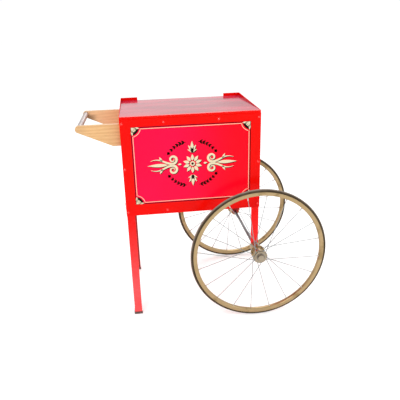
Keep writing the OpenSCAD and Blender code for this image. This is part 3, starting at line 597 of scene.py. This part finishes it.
def bronze_lacquer():
    """Gold-brown lacquer over steel, with darker bands where it ran and a fine metal flake.
    It is greyer and rougher on the faces that look out from the wheels' hubs."""
    finish = Finish("bronze_lacquer", {"Specular IOR Level": 0.4})
    flake = finish.noise(0.0012, 2)
    run = finish.noise(0.06, 4, (1, 3, 1))
    even = finish.mix(run, (0.335, 0.235, 0.105, 1), (0.445, 0.325, 0.185, 1))
    lacquer = finish.mix(run.step(0.54, 0.68) * 0.6, even, (0.19, 0.12, 0.04, 1))
    outer = finish.along("Y").size().step(flange_face - 0.0026, flange_face - 0.0002)
    finish.vary(base_color=finish.mix(outer * (0.55 + run * 0.6), lacquer, (0.33, 0.28, 0.21, 1)),
                metallic=0.8 + flake * 0.1, roughness=0.24 + flake * 0.12 + outer * 0.14)
    finish.relief(flake, 0.00003)
    return finish


dress(dark_steel(), "axle")
bronze = bronze_lacquer()
dress(bronze, "front_axle_spacer", "back_axle_spacer", "front_axle_cap", "back_axle_cap",
      "front_hub", "back_hub")


# ---- Wheels ----
# Each wheel has a rolled steel rim in bronze lacquer, a solid rubber tyre stretched into it and
# twenty plated spokes, laced one cross, each drawn tight by its nipple at the rim.

def tyre_rubber():
    """Dark brown at the walls, worn grey with dust across the tread."""
    finish = Finish("tyre_rubber", {"Specular IOR Level": 0.15})
    grain = finish.noise(0.0018, 3)
    dust = finish.noise(0.04, 4).step(0.3, 0.75)
    tyre_low, tyre_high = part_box("back_tyre")
    half = (tyre_high.y - tyre_low.y) / 2
    tread = 1 - (finish.along("Y").size() - (tyre_low.y + half)).size().step(half * 0.5, half * 0.97)
    wall = finish.mix(dust, (0.036, 0.023, 0.010, 1), (0.070, 0.050, 0.030, 1))
    finish.vary(base_color=finish.mix(tread * (0.75 + dust * 0.25), wall, (0.25, 0.205, 0.17, 1)),
                roughness=0.5 + grain * 0.2)
    finish.relief(grain, 0.00012)
    return finish


def plated_wire(name, dark, light):
    finish = Finish(name, {"Metallic": 0.15})
    dull = finish.noise(0.02, 3)
    finish.vary(base_color=finish.mix(dull, dark, light), roughness=0.45 + dull * 0.2)
    return finish


def natural_nylon():
    finish = Finish("natural_nylon", {"Specular IOR Level": 0.4})
    cloud = finish.noise(0.006, 3)
    finish.vary(base_color=finish.mix(cloud, (0.60, 0.52, 0.38, 1), (0.74, 0.68, 0.54, 1)),
                roughness=0.4 + cloud * 0.1)
    return finish


def turned(profile, middle, steps=144):
    """Spins a closed outline of (radius, along the axle) points round the axle."""
    shape = bmesh.new()
    verts = [shape.verts.new((middle.x + r, middle.y + a, middle.z)) for r, a in profile]
    edges = [shape.edges.new(pair) for pair in zip(verts, verts[1:] + verts[:1])]
    bmesh.ops.spin(shape, geom=verts + edges, cent=middle, axis=(0, 1, 0), angle=math.radians(360),
                   steps=steps, use_merge=True)
    bmesh.ops.remove_doubles(shape, verts=shape.verts, dist=1e-6)
    return shape


def rounded(points, radii, steps=4):
    """A closed outline with its corners rounded off, each by its own radius."""
    out = []
    count = len(points)
    for i, point in enumerate(points):
        here = Vector(point)
        if not radii[i]:
            out.append(here)
            continue
        to_last = (Vector(points[i - 1]) - here).normalized()
        to_next = (Vector(points[(i + 1) % count]) - here).normalized()
        reach = radii[i] / math.tan(to_last.angle(to_next) / 2)
        start = here + to_last * reach
        end = here + to_next * reach
        bend = interpolate_bezier(start.to_3d(), (start + (here - start) * 0.55).to_3d(),
                                  (end + (here - end) * 0.55).to_3d(), end.to_3d(), steps + 1)
        out += [place.to_2d() for place in bend]
    return out


rubber = tyre_rubber()
rim_depth = 0.018
rim_wall = 0.0023
rim_base = 0.0035
lip_round = 0.0011
shoulder_round = 0.0045
belly_round = 0.012
shoulder = 0.0018
groove = 0.0006
for side in ("front", "back"):
    low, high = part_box(side + "_tyre")
    middle = (low + high) / 2
    tread = (high.z - low.z) / 2
    half = (high.y - low.y) / 2
    rim_low, rim_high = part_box(side + "_rim")
    lip = (rim_high.z - rim_low.z) / 2
    rim_half = (rim_high.y - rim_low.y) / 2
    inside = lip - rim_depth
    bed = inside + rim_base
    channel = rim_half - rim_wall
    # From the belly over one lip, down into the channel, and over the other lip back to the belly
    section = [(inside, 0), (inside + shoulder, rim_half), (lip, rim_half), (lip, channel),
               (bed, channel), (bed, -channel), (lip, -channel), (lip, -rim_half),
               (inside + shoulder, -rim_half)]
    radii = [belly_round, shoulder_round, lip_round, lip_round, 0, 0, lip_round, lip_round,
             shoulder_round]
    rim = finished(side + "_rolled_rim", turned(rounded(section, radii), middle), bronze,
                   side + "_wheel")
    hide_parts(side + "_rim")

    # A flank with a fine groove beside the rim, the round crown, and the other flank
    flank = [(bed + 0.0001, half), (lip + 0.0008, half), (lip + 0.0014, half - groove),
             (lip + 0.0022, half), (tread - half, half)]
    crown = arc(Vector((tread - half, 0)), half, quarter, -2 * quarter, 16)
    outline = flank + [tuple(point) for point in crown[1:-1]]
    outline += [(r, -a) for r, a in reversed(flank)]
    tyre = finished(side + "_moulded_tyre", turned(outline, middle), rubber, side + "_wheel")
    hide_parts(side + "_tyre")

dress(plated_wire("plated_wire", (0.17, 0.20, 0.205, 1), (0.27, 0.305, 0.31, 1)), "front_spokes",
      "back_spokes")
dress(plated_wire("plated_nipple", (0.42, 0.41, 0.38, 1), (0.58, 0.56, 0.52, 1)), "front_nipples",
      "back_nipples")
dress(natural_nylon(), "front_bushes", "back_bushes")


# ---- Handle ----
# Two boards of pale hardwood, tapered, rounded at the free end and lacquered, are screwed from
# inside the cabinet. A satin steel tube between them is the crossbar that is pushed.

bar_low, bar_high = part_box("handle_crossbar")
grip_x = (bar_low.x + bar_high.x) / 2
grip_z = (bar_low.z + bar_high.z) / 2


def lacquered_wood():
    """Straight grain along the boards, darker growth rings, pores, handling marks at the grip, lighter
    inner faces and a painted shadow below the crossbar.
    """
    finish = Finish("lacquered_wood", {"Specular IOR Level": 0.4, "Coat Weight": 0.25,
                                       "Coat Roughness": 0.25})
    across = finish.along("Z")
    through = finish.along("Y")
    wander = finish.noise(0.05, 3, (5, 1, 1))
    rings = finish.node("ShaderNodeMath", {"operation": "SINE"},
                        {0: across * 420 + through * 160 + wander * 16})
    fibre = finish.noise(0.0016, 3, (26, 1, 1))
    pores = finish.noise(0.0011, 2, (14, 1, 1)).step(0.62, 0.72)
    along = finish.along("X")
    handled = 1 - along.step(grip_x - 0.01, grip_x + 0.05)
    below = 1 - across.step(grip_z - 0.012, grip_z + 0.004)
    beside = along.step(grip_x - 0.002, grip_x + 0.012) * (1 - along.step(grip_x + 0.02, grip_x + 0.06))
    inner = 1 - through.size().step(bar_high.y - 0.0079, bar_high.y - 0.0072)
    pale = finish.mix(rings * 0.5 + 0.5, (0.68, 0.415, 0.185, 1), (0.58, 0.33, 0.132, 1))
    grain = finish.mix(fibre.step(0.35, 0.7) * 0.45, pale, (0.49, 0.27, 0.105, 1))
    marked = finish.mix(pores * 0.5, grain, (0.25, 0.12, 0.045, 1))
    # The boards' inner faces are a little lighter.
    lighter_inner_faces = finish.mix(inner * 0.3, marked, (0.80, 0.58, 0.36, 1))
    held = finish.mix(handled * 0.28, lighter_inner_faces, (0.36, 0.235, 0.13, 1))
    # Painted shadow of the crossbar: a dark brown patch on the inner faces just below and beside the
    # grip.
    finish.vary(base_color=finish.mix(below * beside * inner * 0.8, held, (0.16, 0.085, 0.025, 1)),
                roughness=0.34 + fibre * 0.14)
    finish.relief(fibre - pores * 0.8, 0.00012)
    return finish


def satin_steel():
    finish = Finish("satin_steel", {"Metallic": 0.85})
    brushed = finish.noise(0.0012, 3, (1, 24, 1))
    hand = finish.noise(0.05, 3)
    finish.vary(base_color=finish.mix(hand, (0.33, 0.275, 0.265, 1), (0.46, 0.39, 0.38, 1)),
                roughness=0.32 + brushed * 0.16)
    finish.relief(brushed, 0.00003)
    return finish


wood = lacquered_wood()
for node in ("front_handle_board", "back_handle_board"):
    board = finished(node + "_rounded", softened(node, 0.0025, 3), wood, "cart", 40)
    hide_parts(node)
dress(satin_steel(), "handle_crossbar")
dress(bright_zinc, "handle_plates", "handle_screws")


# ---- Door ----
# The door in the back is a shallow enamelled pan on two zinc butt hinges, with a turned black
# knob. A magnetic catch inside holds its strike plate, so that it stays shut as the cart rolls.

dress(cabinet_red, "door_panel")
dress(bright_zinc, "frame_hinge_leaves", "door_hinge_leaves", "hinge_pins", "frame_hinge_rivets",
      "door_hinge_rivets", "knob_screw", "strike_plate")
knob_black = moulded_plastic("knob_black", (0.008, 0.008, 0.008, 1), (0.03, 0.03, 0.03, 1), 0.12)
dress(knob_black, "door_knob")
catch_grey = moulded_plastic("catch_grey", (0.06, 0.06, 0.06, 1), (0.12, 0.12, 0.12, 1), 0.5)
dress(catch_grey, "door_catch")
